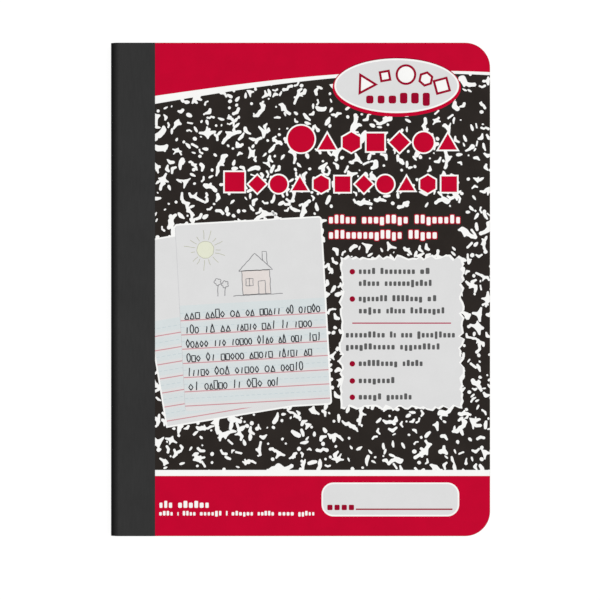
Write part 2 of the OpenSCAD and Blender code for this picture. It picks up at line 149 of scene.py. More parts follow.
class Graph:
    """A node tree that is filled node by node. The owner is the material that it draws."""

    def __init__(self, tree, owner=None):
        self.tree = tree
        self.owner = owner

    def node(self, kind, sockets=None, **settings):
        """A new node, its settings first. A node given for a socket stands for its first output."""
        made = self.tree.nodes.new(kind)
        for name, setting in settings.items():
            setattr(made, name, setting)
        for key, given in (sockets or {}).items():
            given = getattr(given, "socket", given)
            if isinstance(given, bpy.types.Node):
                given = given.outputs[0]
            if isinstance(given, bpy.types.NodeSocket):
                self.tree.links.new(given, made.inputs[key])
            else:
                made.inputs[key].default_value = given
        return made

    def math(self, operation, *terms):
        made = self.node("ShaderNodeMath", dict(enumerate(terms)), operation=operation)
        return Value(self, made.outputs[0])

    def vector_math(self, operation, *terms):
        return self.node("ShaderNodeVectorMath", dict(enumerate(terms)), operation=operation)

    def mix(self, share, low, high):
        """Colour between low and high by share."""
        return self.node("ShaderNodeMix", {0: share, 6: low, 7: high}, data_type="RGBA").outputs[2]

    def between(self, value, low, high):
        """0 below low and 1 above high, with a smooth step between."""
        sockets = {0: value, 1: low, 2: high, 3: 0.0, 4: 1.0}
        made = self.node("ShaderNodeMapRange", sockets, interpolation_type="SMOOTHSTEP")
        return Value(self, made.outputs[0])

    def noise(self, scale, detail=2.0, stretch=(1, 1, 1)):
        """Cloudy noise about 0.5, with scale waves to a millimetre."""
        laid = self.vector_math("MULTIPLY", self.point, stretch)
        made = self.node("ShaderNodeTexNoise", {"Vector": laid, "Scale": scale, "Detail": detail})
        return Value(self, made.outputs[0])

    def seen(self):
        """1 for rays that show a thing, straight, mirrored or through glass, and 0 for rays that light."""
        ray = self.node("ShaderNodeLightPath").outputs
        straight_or_mirrored = self.math("MAXIMUM", ray["Is Camera Ray"], ray["Is Glossy Ray"])
        return self.math("MAXIMUM", straight_or_mirrored, ray["Is Transmission Ray"])

    def chance(self, low, high, seed, kind="FLOAT", **sockets):
        """A number or a vector by chance, another one for each point."""
        at = ("FLOAT_VECTOR", "FLOAT", "INT").index(kind)
        sockets.update({2 * at: low, 2 * at + 1: high, "Seed": seed})
        made = self.node("FunctionNodeRandomValue", sockets, data_type=kind)
        return Value(self, made.outputs[at])

    def attribute(self, name, kind="FLOAT"):
        made = self.node("GeometryNodeInputNamedAttribute", {"Name": name}, data_type=kind)
        return Value(self, made.outputs[0])

    def close(self, geometry, finish):
        """Ends a Geometry Nodes tree with its material."""
        self.node("NodeGroupOutput", {
            0: self.node("GeometryNodeSetMaterial", {"Geometry": geometry, "Material": finish})})
        return self.tree


def srgb(red, green, blue):
    """A colour as a picture shows it, 0 to 255, as the linear colour that a shader takes."""
    shares = (red / 255, green / 255, blue / 255)
    return (*(s / 12.92 if s <= 0.04045 else ((s + 0.055) / 1.055) ** 2.4 for s in shares), 1.0)


def shade(colour, factor):
    return (*(min(1.0, part * factor) for part in colour[:3]), 1.0)


def emptied(made):
    """The graph of a material or a world, with no nodes in it yet."""
    made.use_nodes = True
    made.node_tree.nodes.clear()
    return Graph(made.node_tree, made)


def surface(name):
    """A new material's graph, and the X, Y and Z of the point on the object in millimetres."""
    graph = emptied(bpy.data.materials.new(name))
    point = graph.node("ShaderNodeTexCoord").outputs["Object"]
    graph.point = graph.vector_math("MULTIPLY", point, (1 / MM, 1 / MM, 1 / MM))
    parts = graph.node("ShaderNodeSeparateXYZ", {0: graph.point})
    return graph, *(Value(graph, socket) for socket in parts.outputs)


def finish(graph, colour, roughness, height, depth, specular=0.03, sheen=0.0):
    """Closes a material with its surface. Height is the relief, and depth its size in millimetres."""
    bump = graph.node("ShaderNodeBump", {"Strength": 1.0, "Distance": depth * MM, "Height": height})
    shader = graph.node("ShaderNodeBsdfPrincipled", {
        "Base Color": colour, "Roughness": roughness, "Specular IOR Level": specular,
        "Sheen Weight": sheen, "Normal": bump})
    graph.node("ShaderNodeOutputMaterial", {"Surface": shader})
    return graph.owner


# Materials

def ink(name, colour, mottle, gloss=0.5):
    """Ink on coated stock: a faint mottle, the stock's fibres, and a slightly uneven gloss."""
    graph, *_ = surface(name)
    cloud = graph.noise(0.12, 3.0)
    fibre = graph.noise(2.2, 4.0, (1.0, 0.45, 1.0))
    tone = graph.between(cloud * 0.6 + fibre * 0.4, 0.3, 0.7)
    tint = graph.mix(tone, shade(srgb(*colour), 1 - mottle), shade(srgb(*colour), 1 + mottle))
    return finish(graph, tint, gloss + 0.12 * fibre, fibre, 0.006)


def cloth(colour):
    """Close-woven book cloth: over and under threads, slubs, and painted shade on the rounded shoulders where
    the spine turns.
    """
    graph, x, y, z = surface("tape_cloth")
    pitch = 0.42
    wander = graph.noise(0.5, 2.0) * 0.3
    along = graph.math("SINE", (y + wander) * (tau / pitch))
    across = graph.math("SINE", (x + z + wander) * (tau / pitch))
    weave = graph.between(along * across, -0.9, 0.9)
    slub = graph.noise(1.1, 3.0, (1.0, 0.12, 1.0))
    cloud = graph.noise(0.05, 2.0)
    tone = graph.between(0.3 * weave + 0.35 * slub + 0.35 * cloud, 0.25, 0.75)
    tint = graph.mix(tone, shade(colour, 0.86), shade(colour, 1.14))
    # Painted shade: the cloth darkens to about a third of its colour on the spine's rounded shoulders, near
    # the back of the spine and away from its middle, where the overhead lamp reaches less.
    bent = 1 - graph.between(x, SPINE_X - 0.6, SPINE_X + 4.4)
    edge = graph.between(abs(z - MID_Z), 1.5, 3.0)
    tint = graph.mix(bent * edge, tint, shade(colour, 0.3))
    return finish(graph, tint, 0.62 + 0.15 * slub, 0.7 * weave + 0.3 * slub, 0.02, specular=0.0)


def chipboard():
    """The cut edge of grey board: pressed layers of coarse grey-brown pulp."""
    graph, *_ = surface("chipboard")
    layers = graph.noise(1.4, 3.0, (0.25, 0.25, 6.0))
    pulp = graph.noise(3.0, 4.0)
    specks = graph.between(graph.noise(1.7, 2.0), 0.62, 0.7)
    tint = graph.mix(layers, srgb(128, 119, 105), srgb(170, 160, 143))
    tint = graph.mix(0.6 * specks, tint, srgb(92, 84, 74))
    return finish(graph, tint, 0.85 + 0.1 * pulp, 0.6 * layers + 0.4 * pulp, 0.05)


def leaf_edge():
    """The cut edges of the leaves: soft off-white with streaks along each leaf."""
    graph, *_ = surface("leaf_edge")
    streak = graph.noise(0.5, 3.0, (0.3, 0.3, 12.0))
    cloud = graph.noise(0.04, 2.0)
    tone = graph.between(0.6 * streak + 0.4 * cloud, 0.3, 0.7)
    tint = graph.mix(tone, srgb(221, 217, 206), srgb(244, 241, 233))
    return finish(graph, tint, 0.8 + 0.1 * streak, streak, 0.02)


def fibres(graph, scale, cloud_scale, dark, pale):
    """The fibres of uncoated paper, and its colour between dark and pale."""
    fibre = graph.noise(scale, 4.0, (1.0, 0.4, 1.0))
    cloud = graph.noise(cloud_scale, 2.0)
    return fibre, graph.mix(graph.between(0.8 * fibre + 0.2 * cloud, 0.2, 0.8), dark, pale)


RULED_FROM = 6.0
RULED_TO = -108.0
RULED_PITCH = 19.0


def ruled_leaf():
    """A primary page: a bare upper half, then rows of blue head, broken middle and red base lines."""
    graph, x, y, _ = surface("ruled_leaf")
    fibre, tint = fibres(graph, 2.0, 0.03, srgb(236, 234, 226), srgb(246, 244, 238))
    step = (y - RULED_TO) % RULED_PITCH
    ruled = (y > RULED_TO - 1) * (y < RULED_FROM)
    half_line = 0.225
    dashes = (x % 5.0) < 3.0
    blue = (abs(step - 12.7) < half_line) + (abs(step - 6.35) < half_line) * dashes
    red = abs(step - 0.5) < half_line
    tint = graph.mix(blue * ruled * 0.75, tint, srgb(122, 168, 204))
    tint = graph.mix(red * ruled * 0.8, tint, srgb(206, 92, 102))
    return finish(graph, tint, 0.75 + 0.1 * fibre, fibre, 0.01)


def paper():
    """Plain uncoated paper with its fibres."""
    graph, *_ = surface("endpaper")
    fibre, tint = fibres(graph, 1.8, 0.04, srgb(232, 230, 222), srgb(244, 242, 236))
    return finish(graph, tint, 0.72 + 0.1 * fibre, fibre, 0.012)


def twist():
    """Twisted cotton thread."""
    graph, x, y, z = surface("cotton_thread")
    ply = graph.math("SINE", (x + y + z) * (tau / 0.5))
    tint = graph.mix(graph.between(ply, -1.0, 1.0), srgb(205, 202, 192), srgb(240, 238, 230))
    return finish(graph, tint, 0.8 + 0.05 * ply, ply, 0.05, sheen=0.2)


BLACK_INK = ink("black_ink", (41, 36, 33), 0.12)
WHITE_STOCK = ink("bare_white_stock", (247, 247, 245), 0.02, 0.55)
RED_INK = ink("red_ink", (193, 0, 45), 0.04)
DARK_RED_INK = ink("dark_red_ink", (150, 2, 40), 0.05)
GREY_INK = ink("grey_ink", (221, 221, 221), 0.015)
WORD_INK = ink("word_ink", (92, 92, 92), 0.1)
STROKE_INK = ink("stroke_ink", (54, 56, 60), 0.1)
RULE_RED = ink("rule_red", (203, 146, 153), 0.05)
SEAM_GREY = ink("seam_grey", (204, 204, 206), 0.03)
DIVIDER_RED = ink("divider_red", (176, 52, 82), 0.05)
BAND_BLUE = ink("band_blue", (214, 221, 222), 0.015)
MIDLINE_BLUE = ink("midline_blue", (196, 208, 212), 0.03)
PENCIL = ink("pencil", (142, 141, 144), 0.15, 0.6)
PENCIL_PALE = ink("pale_pencil", (186, 187, 168), 0.1, 0.6)
PENCIL_WARM = ink("warm_pencil_fill", (225, 217, 213), 0.04, 0.6)
PENCIL_YELLOW = ink("yellow_pencil_fill", (225, 227, 207), 0.04, 0.6)
TAPE_CLOTH = cloth(srgb(53, 53, 53))
CHIPBOARD = chipboard()
LEAF_EDGE = leaf_edge()
RULED_LEAF = ruled_leaf()
ENDPAPER = paper()
COTTON = twist()


# Outlines, as lists of points that run anticlockwise

def around(cx, cy, angle, rx, ry=None):
    """The point of a circle or an ellipse at an angle in radians."""
    return cx + rx * cos(angle), cy + (rx if ry is None else ry) * sin(angle)


def arc(cx, cy, radius, start, end, steps):
    return [around(cx, cy, radians(start + (end - start) * i / steps), radius) for i in range(steps + 1)]


def ellipse(cx, cy, rx, ry, sides=72, start=0.0):
    return [around(cx, cy, radians(start) + tau * i / sides, rx, ry) for i in range(sides)]


def box(x0, y0, x1, y1):
    return [(x0, y0), (x1, y0), (x1, y1), (x0, y1)]


def sheet_box(half_w, half_h, grown=0.0):
    """A box about the middle of a sheet."""
    return box(-half_w - grown, -half_h - grown, half_w + grown, half_h + grown)


def round_box(cx, cy, width, height, radius, steps=6):
    x, y = width / 2 - radius, height / 2 - radius
    corners = [(x, -y, -90), (x, y, 0), (-x, y, 90), (-x, -y, 180)]
    return [p for dx, dy, a in corners for p in arc(cx + dx, cy + dy, radius, a, a + 90, steps)]


def book_plan(x0, inset=0.0, steps=14):
    """The book's plan from x0 to the fore edge, with its two round corners."""
    radius = CORNER_R - inset
    y1 = HEAD_Y - inset
    corner = arc(FORE_X - inset - radius, y1 - radius, radius, 0, 90, steps)
    return [(x0, -y1)] + mirrored(corner) + corner + [(x0, y1)]


def mirrored(points):
    """The same points at the tail in place of the head, still anticlockwise."""
    return [(x, -y) for x, y in points[::-1]]


def turned(points, cx, cy, angle=0.0):
    """Points about the origin, turned and put about cx, cy."""
    c, s = cos(radians(angle)), sin(radians(angle))
    return [(cx + x * c - y * s, cy + x * s + y * c) for x, y in points]


def closed(points):
    return points + points[:1]


def sides_of(points):
    """Pairs of neighbours round a closed outline."""
    return list(zip(points, closed(points)[1:]))


def ragged_box(half_w, half_h, pitch, depth, seed):
    """A rectangle about the origin whose torn edge wanders in and out."""
    chance = random.Random(seed)
    points = []
    for (x0, y0), (x1, y1) in sides_of(sheet_box(half_w, half_h)):
        length = hypot(x1 - x0, y1 - y0)
        steps = round(length / pitch)
        out_x, out_y = (y1 - y0) / length, (x0 - x1) / length
        for i in range(steps):
            t = (i + chance.uniform(-0.3, 0.3)) / steps if i else 0
            push = chance.uniform(-depth, depth)
            points.append((x0 + (x1 - x0) * t + out_x * push, y0 + (y1 - y0) * t + out_y * push))
    return points


# Closed pieces, gathered wall by wall

def tube(count, sides):
    """Faces of a tube through count rings of points with so many sides each, then its two flat ends."""
    walls = []
    for first in range(0, sides * (count - 1), sides):
        for i in range(sides):
            after = (i + 1) % sides
            walls.append((first + i, first + after, first + sides + after, first + sides + i))
    points = list(range(sides * count))
    return walls + [points[:sides][::-1], points[-sides:]]


def plain_mesh(name, points, faces, finishes=()):
    """A mesh of points in millimetres."""
    made = bpy.data.meshes.new(name)
    made.from_pydata([(x * MM, y * MM, z * MM) for x, y, z in points], [], faces)
    for finish in finishes:
        made.materials.append(finish)
    return made


class Shell:
    """Closed walls in millimetres that become one piece. They take its finish where no other is named."""

    def __init__(self, name, finish):
        self.name = name
        self.finish = finish
        self.points, self.faces, self.slots, self.materials = [], [], [], []

    def add(self, points, faces, finish=None):
        finish = finish or self.finish
        if finish not in self.materials:
            self.materials.append(finish)
        first = len(self.points)
        self.points += points
        self.faces += [[first + i for i in face] for face in faces]
        self.slots += [self.materials.index(finish)] * len(faces)

    def loft(self, rings, finish=None):
        """A solid through closed rings of points, with a flat face at either end."""
        self.add([point for ring in rings for point in ring], tube(len(rings), len(rings[0])), finish)

    def plate(self, outline, low, high, finish=None):
        self.loft([[(x, y, z) for x, y in outline] for z in (low, high)], finish)

    def lay(self, outline, level, finish=None):
        """A layer of ink on the front cover, with its foot hidden in the ground."""
        self.plate(outline, INK_FOOT, FRONT_GROUND + level * LEVEL, finish)

    def stroke(self, path, width, level, finish):
        """A drawn stroke of one width along a path on the front cover."""
        high = FRONT_GROUND + level * LEVEL
        rings = []
        for i, (x, y) in enumerate(path):
            (x0, y0), (x1, y1) = path[max(i - 1, 0)], path[min(i + 1, len(path) - 1)]
            length = hypot(x1 - x0, y1 - y0) or 1.0
            nx, ny = (y0 - y1) / length * width / 2, (x1 - x0) / length * width / 2
            left, right = (x + nx, y + ny), (x - nx, y - ny)
            rings.append([(*left, INK_FOOT), (*right, INK_FOOT), (*right, high), (*left, high)])
        self.loft(rings, finish)

    def piece(self, slot, *nodes):
        mesh = plain_mesh(self.name, self.points, self.faces, self.materials)
        mesh.polygons.foreach_set("material_index", self.slots)
        outward(mesh)
        return piece(self.name, mesh, slot, *nodes)


def outward(mesh):
    """Turns every closed wall's faces outwards."""
    loose = bmesh.new()
    loose.from_mesh(mesh)
    bmesh.ops.recalc_face_normals(loose, faces=loose.faces)
    loose.to_mesh(mesh)
    loose.free()
    mesh.update()


def put(name, data):
    """A new object in the scene."""
    made = bpy.data.objects.new(name, data)
    bpy.context.scene.collection.objects.link(made)
    return made


def piece(name, mesh, slot, *nodes):
    made = put(name, mesh)
    if nodes:
        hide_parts(*nodes)
    return made


# Geometry Nodes trees

def grown_tree(name, inputs):
    """A Geometry Nodes tree's graph, and what it is given by name."""
    tree = bpy.data.node_groups.new(name, "GeometryNodeTree")
    for label, kind in {"Geometry": "Geometry", **inputs}.items():
        tree.interface.new_socket(label, in_out="INPUT", socket_type="NodeSocket" + kind)
    tree.interface.new_socket("Geometry", in_out="OUTPUT", socket_type="NodeSocketGeometry")
    graph = Graph(tree)
    given = graph.node("NodeGroupInput").outputs
    return graph, {label: Value(graph, given[label]) for label in ("Geometry", *inputs)}


def grow(name, mesh, tree, settings):
    """The plain mesh that a tree makes of a mesh."""
    holder = put(name, mesh)
    modifier = holder.modifiers.new(tree.name, "NODES")
    modifier.node_group = tree
    for item in tree.interface.items_tree:
        if item.in_out == "INPUT" and item.name in settings:
            modifier[item.identifier] = settings[item.name]
    evaluated = holder.evaluated_get(bpy.context.evaluated_depsgraph_get())
    made = bpy.data.meshes.new_from_object(evaluated)
    holder.modifiers.remove(modifier)
    bpy.data.objects.remove(holder)
    made.name = name
    return made


def fleck_tree():
    """White flecks strewn over the field: each a shape from the collection, turned and sized by chance."""
    graph, given = grown_tree("marble_flecks", {
        "Shapes": "Collection", "Shape count": "Int", "Spacing": "Float", "Crowd": "Float",
        "Least rise": "Float", "Most rise": "Float", "Seed": "Int", "Finish": "Material"})
    strewn = graph.node("GeometryNodeDistributePointsOnFaces", {
        "Mesh": given["Geometry"], "Distance Min": given["Spacing"], "Density Max": given["Crowd"],
        "Seed": given["Seed"]}, distribute_method="POISSON")
    rise = graph.chance(given["Least rise"], given["Most rise"], given["Seed"])
    lifted = graph.node("GeometryNodeSetPosition", {
        "Geometry": strewn, "Offset": graph.node("ShaderNodeCombineXYZ", {"Z": rise})})
    shapes = graph.node("GeometryNodeCollectionInfo", {
        "Collection": given["Shapes"], "Separate Children": True, "Reset Children": True})
    placed = graph.node("GeometryNodeInstanceOnPoints", {
        "Points": lifted, "Instance": shapes, "Pick Instance": True,
        "Instance Index": graph.chance(0, given["Shape count"] - 1, 13, "INT"),
        "Rotation": graph.chance((0.0, 0.0, 0.0), (0.0, 0.0, tau), 11, "FLOAT_VECTOR"),
        "Scale": graph.chance(FLECK_LEAST, FLECK_MOST, 12)})
    real = graph.node("GeometryNodeRealizeInstances", {0: placed})
    return graph.close(real, given["Finish"])


def sheet_tree():
    """Folded sheets nested about one centre: each copy of the unit sheet is pushed out along its walls."""
    graph, given = grown_tree("nested_sheets", {
        "Sheets": "Int", "Pitch": "Float", "Thickness": "Float", "Slip": "Float", "Seed": "Int",
        "Finish": "Material"})
    line = graph.node("GeometryNodeMeshLine", {"Count": given["Sheets"], "Offset": (0.0, 0.0, 0.0)})
    copies = graph.node("GeometryNodeInstanceOnPoints", {"Points": line, "Instance": given["Geometry"]})
    numbered = graph.node("GeometryNodeStoreNamedAttribute", {
        "Geometry": copies, "Name": "sheet", "Value": graph.node("GeometryNodeInputIndex")},
        domain="INSTANCE", data_type="FLOAT")
    real = graph.node("GeometryNodeRealizeInstances", {0: numbered})
    sheet, skin, fore = [graph.attribute(name) for name in ("sheet", "skin", "fore")]
    reach = (sheet + 0.5) * given["Pitch"] + skin * given["Thickness"] * 0.5
    share = graph.chance(-1.0, 0.0, given["Seed"], ID=graph.math("ROUND", sheet))
    out = graph.attribute("out", "FLOAT_VECTOR")
    push = graph.node("ShaderNodeVectorMath", {0: out, "Scale": reach}, operation="SCALE")
    slide = graph.node("ShaderNodeCombineXYZ", {"X": share * given["Slip"] * fore})
    moved = graph.node("GeometryNodeSetPosition", {
        "Geometry": real, "Offset": graph.vector_math("ADD", push, slide)})
    return graph.close(moved, given["Finish"])


# The marble pattern

def dot(chance):
    radius = chance.uniform(0.42, 0.85)
    return ellipse(0, 0, radius, radius * chance.uniform(1.0, 1.5), 10)


def drop(chance):
    """A longer speck, fuller at one end."""
    length, width, fuller = chance.uniform(1.0, 1.5), chance.uniform(0.55, 0.85), chance.uniform(0.1, 0.35)
    return [(x, y * (1 + fuller * x / length)) for x, y in ellipse(0, 0, length, width, 10)]


def bar(chance):
    """Bones of a short thick bar that bends and swells."""
    x, y, way = 0.0, 0.0, 0.0
    joints = [(x, y, chance.uniform(0.4, 1.0))]
    for _ in range(chance.randint(2, 4)):
        way += chance.uniform(-1.2, 1.2)
        x, y = around(x, y, way, chance.uniform(1.1, 1.9))
        joints.append((x, y, chance.uniform(0.35, 1.1)))
    return list(zip(joints, joints[1:]))


def web(chance, legs):
    """Bones of a full body with tapering legs."""
    bones = []
    for k in range(legs):
        way = tau * (k + chance.uniform(-0.22, 0.22)) / legs
        foot = around(0.0, 0.0, way, chance.uniform(1.4, 3.6))
        body = chance.uniform(0.6, 1.15)
        bones.append(((0.0, 0.0, body), (*foot, chance.uniform(0.25, 0.6))))
    return bones


def chain(chance):
    """Bones of a long bar with a leg off its side."""
    bones = bar(chance)
    x, y, _ = bones[-1][1]
    way = atan2(y, x)
    for _ in range(2):
        way += chance.uniform(-0.8, 0.8)
        joint = (*around(x, y, way, chance.uniform(1.4, 2.2)), chance.uniform(0.4, 0.85))
        bones.append(((x, y, 0.55), joint))
        x, y = joint[:2]
    root = bones[len(bones) // 2][0]
    side = way + chance.choice((-1.5, 1.5))
    bones.append((root, (*around(*root[:2], side, chance.uniform(1.4, 2.4)), 0.35)))
    return bones


def flesh(bones, melt=0.28, step=0.32):
    """The outline of round-ended bones that melt together where they meet, walked over a fine grid."""
    margin = 1.8
    xs, ys, _ = zip(*(end for bone in bones for end in bone))
    x0, y0 = min(xs) - margin, min(ys) - margin
    columns, rows = ceil((max(xs) + margin - x0) / step), ceil((max(ys) + margin - y0) / step)

    def gap(column, row):
        x, y = x0 + step * column, y0 + step * row
        total = 1e-12
        for (ax, ay, ar), (bx, by, br) in bones:
            dx, dy = bx - ax, by - ay
            share = min(1.0, max(0.0, ((x - ax) * dx + (y - ay) * dy) / (dx * dx + dy * dy)))
            away = hypot(x - ax - share * dx, y - ay - share * dy)
            total += exp((ar + (br - ar) * share - away) / melt)
        return -melt * log(total)

    gaps = {(column, row): gap(column, row) for column in range(columns + 1) for row in range(rows + 1)}
    follow = {}
    for column in range(columns):
        for row in range(rows):
            corners = [(column, row), (column + 1, row), (column + 1, row + 1), (column, row + 1)]
            edges = sides_of(corners)
            leaving = [k for k, (a, b) in enumerate(edges) if gaps[a] < 0 <= gaps[b]]
            entering = [k for k, (a, b) in enumerate(edges) if gaps[b] < 0 <= gaps[a]]
            for k in leaving:
                nearest = min(entering, key=lambda e: (e - k) % 4)
                follow[frozenset(edges[k])] = frozenset(edges[nearest])
    longest = []
    while follow:
        key = next(iter(follow))
        loop = []
        while key in follow:
            a, b = sorted(key)
            share = gaps[a] / (gaps[a] - gaps[b])
            column, row = a[0] + (b[0] - a[0]) * share, a[1] + (b[1] - a[1]) * share
            loop.append((x0 + step * column, y0 + step * row))
            key = follow.pop(key)
        longest = max(longest, loop, key=len)
    return plainer(longest, 0.035)


def plainer(points, least):
    """The outline without the corners that cut off less than the least area."""
    points = list(points)

    def area(i):
        (ax, ay), (bx, by), (cx, cy) = points[i - 1], points[i], points[(i + 1) % len(points)]
        return abs((bx - ax) * (cy - ay) - (cx - ax) * (by - ay)) / 2

    while len(points) > 8:
        areas = [area(i) for i in range(len(points))]
        smallest = min(areas)
        if smallest > least:
            break
        points.pop(areas.index(smallest))
    return points


def middle_of(points):
    return sum(x for x, _ in points) / len(points), sum(y for _, y in points) / len(points)


def centred(points):
    x, y = middle_of(points)
    return turned(points, -x, -y)


def fleck_shapes(name, outlines):
    """A collection of flat meshes, one to an outline."""
    shapes = bpy.data.collections.new(name)
    for number, outline in enumerate(outlines):
        flat = [(x, y, 0.0) for x, y in centred(outline)]
        mesh = plain_mesh(f"{name}_{number:02d}", flat, [list(range(len(flat)))])
        shapes.objects.link(bpy.data.objects.new(mesh.name, mesh))
    return shapes


def small_outlines():
    chance = random.Random(23)
    bent = [bar(chance)[:2] for _ in range(14)]
    hooks = [flesh([[(x, y, 0.7 * radius) for x, y, radius in bone] for bone in bones]) for bones in bent]
    return [dot(chance) for _ in range(8)] + [drop(chance) for _ in range(7)] + hooks


def large_outlines():
    chance = random.Random(29)
    return [flesh(bar(chance)) for _ in range(11)] + [flesh(web(chance, 3)) for _ in range(8)] \
        + [flesh(web(chance, 4)) for _ in range(4)] + [flesh(chain(chance)) for _ in range(13)]


CELL = 3.0


def open_field(y0, height, covered=lambda x, y: False):
    """The field from y0 to the head that flecks fall on, in small cells, less those with a covered middle."""
    points = []
    for row in range(ceil((HEAD_Y - y0) / CELL)):
        for column in range(ceil((FORE_X - PRINT_X) / CELL)):
            x, y = PRINT_X + CELL * column, y0 + CELL * row
            if not covered(x + CELL / 2, y + CELL / 2):
                points += [(px, py, height) for px, py in box(x, y, x + CELL, y + CELL)]
    return plain_mesh("open_field", points, [list(range(i, i + 4)) for i in range(0, len(points), 4)])


def trimmed_plates(meshes, outline, depth):
    """Flat shapes cut along a convex outline and given a thickness downwards."""
    mesh = meshes[0]
    loose = bmesh.new()
    for part in meshes:
        loose.from_mesh(part)
    bmesh.ops.triangulate(loose, faces=loose.faces)
    for (x0, y0), (x1, y1) in sides_of(outline):
        everything = loose.verts[:] + loose.edges[:] + loose.faces[:]
        bmesh.ops.bisect_plane(
            loose, geom=everything, plane_co=(x0 * MM, y0 * MM, 0), plane_no=(y1 - y0, x0 - x1, 0),
            clear_outer=True)
    copy = bmesh.ops.extrude_face_region(loose, geom=loose.faces[:], use_keep_orig=True)["geom"]
    lower = [v for v in copy if isinstance(v, bmesh.types.BMVert)]
    bmesh.ops.translate(loose, vec=(0, 0, -depth * MM), verts=lower)
    loose.to_mesh(mesh)
    loose.free()
    outward(mesh)
    return mesh


# Flecks by size: their outlines, the spacing that they keep in millimetres, how many are strewn on a square
# millimetre before they are thinned to it, and the least that they rise, in levels

FLECK_SIZES = [("large", large_outlines(), 6.1, 0.0157, 0.35), ("small", small_outlines(), 2.3, 0.047, 0.0)]
FLECK_LEAST = 0.72
FLECK_MOST = 1.3
FLECK_REST = 0.4 * LEVEL


def flecks(name, field, seed):
    """Large and small flecks on one field, as thin plates at slightly different heights."""
    grown = []
    for size, outlines, spacing, crowd, low in FLECK_SIZES:
        shapes = fleck_shapes(f"{size}_fleck", outlines)
        grown.append(grow(f"{name}_{size}", field.copy(), fleck_tree(), {
            "Shapes": shapes, "Shape count": len(outlines), "Spacing": spacing * MM,
            "Crowd": crowd / MM ** 2, "Least rise": low * LEVEL * MM,
            "Most rise": (low + 0.3) * LEVEL * MM, "Seed": seed + len(grown) * 50,
            "Finish": WHITE_STOCK}))
        for shape in list(shapes.objects):
            bpy.data.objects.remove(shape)
        bpy.data.collections.remove(shapes)
    return piece(name, trimmed_plates(grown, PRINT_PLAN, 1.4 * LEVEL), "board")


# Where the front cover's print lies

HEAD_BAND = HEAD_Y - 26.7
HEAD_BAND_RISE = 12.6
HEAD_STRIPE = HEAD_BAND - 4.0
HEAD_STRIPE_RISE = HEAD_BAND_RISE + 2.6
BAND_WAVE = 109.0
TAIL_BAND = TAIL_Y + 30.2
TAIL_STRIPE = TAIL_BAND + 3.0
OUTLINE = 0.8
PRINT_PLAN = book_plan(PRINT_X, EDGE_WEAR)

OVAL_X, OVAL_Y = FORE_X - 46.85, HEAD_Y - 21.63
OVAL_RX, OVAL_RY = 31.3, 13.72
OVAL_MARKS = [
    (2, 12.4, -16.4, 1.9, 28.0), (1, 6.4, -5.9, 4.9, 10.0), (0, 10.4, 4.6, 5.6, 0.0),
    (4, 8.0, 14.6, 3.4, -12.0), (3, 10.8, 22.6, 0.0, -30.0)]

# Sides, radius to size, first corner's angle, sink to size and corner growth of a title's disc, square,
# triangle, diamond and hexagon

ROOT_2 = sqrt(2)
TITLE_SHAPES = [
    (48, 0.5, 0, 0.0, 1.0), (4, 0.44 * ROOT_2, 45, 0.0, ROOT_2), (3, 0.52, 90, 0.1, 2.0),
    (4, 0.5, 0, 0.0, ROOT_2), (6, 0.5, 30, 0.0, 2 / sqrt(3))]
TITLE_X = FORE_X - 15.2
TITLE_ROWS = [(7, 12.1, 10.2, HEAD_Y - 50.0, 13.5), (11, 10.7, 8.9, HEAD_Y - 71.0, 11.2)]
SUBTITLE_X = TITLE_X - 65.8
SUBTITLE_ROWS = [(66.7, HEAD_Y - 89.1, (14.0, 23.8)), (55.0, HEAD_Y - 96.75, (37.3,))]
SUBTITLE_H = 3.15
TAIL_ROWS = [
    (25.7, TAIL_Y + 15.5, 2.6, 2.5, (7.2,)),
    (78.4, TAIL_Y + 11.2, 1.7, 1.9, (7.4, 1.0, 6.9, 11.4, 1.1, 11.3, 8.7, 8.3))]

PANEL_X, PANEL_Y = FORE_X - 44.5, TAIL_Y + 102.1
PANEL_W, PANEL_H = 58.9, 74.8
PANEL_ROWS = [
    (30.6, 36.3, True, (8.9, 18.0)), (24.6, 37.3, False, (11.0,)), (16.9, 39.8, True, (14.9, 15.6)),
    (10.8, 43.7, False, (11.8, 10.1)), (-1.3, 55.4, False, (20.2, 3.6, 6.2)), (-7.3, 47.8, False, (25.2,)),
    (-15.6, 32.7, True, (20.0,)), (-24.2, 18.6, True, ()), (-32.4, 27.2, True, (12.0,))]

SHEET_W, SHEET_H = 72.8, 93.2
UPPER = (TAPE_X + 49.1, TAIL_Y + 111.3, 3.2)
LOWER = (TAPE_X + 34.5, TAIL_Y + 107.2, 9.5)
RULES, RULE_PITCH, RULE_FOOT = 7, 7.15, 2.5
STORY_ENDS = (34.8, 29.9, 34.6, 28.7, 23.8, 11.3)

NAME_X, NAME_Y = FORE_X - 50.05, TAIL_Y + 18.4
NAME_W, NAME_H, NAME_R = 67.5, 15.4, 5.2


def band_edge(x, foot, rise):
    """Height of the head band's edge: it rises like the first quarter of a wave."""
    return foot + rise * sin(radians(BAND_WAVE) * (x - TAPE_X) / FIELD_W)


def band_curve(foot, rise, steps=40):
    xs = [PRINT_X + (FORE_X - EDGE_WEAR - PRINT_X) * i / steps for i in range(steps + 1)]
    return [(x, band_edge(x, foot, rise)) for x in xs]


# Boxes that no fleck starts in, but for a rim: middle, turn, width and height

CLEAR_BOXES = [
    (SUBTITLE_X + 33.5, HEAD_Y - 92.0, 0.0, 75.0, 24.5), (PANEL_X, PANEL_Y, 0.0, PANEL_W, PANEL_H),
    (*UPPER, SHEET_W, SHEET_H), (*LOWER, SHEET_W, SHEET_H)]


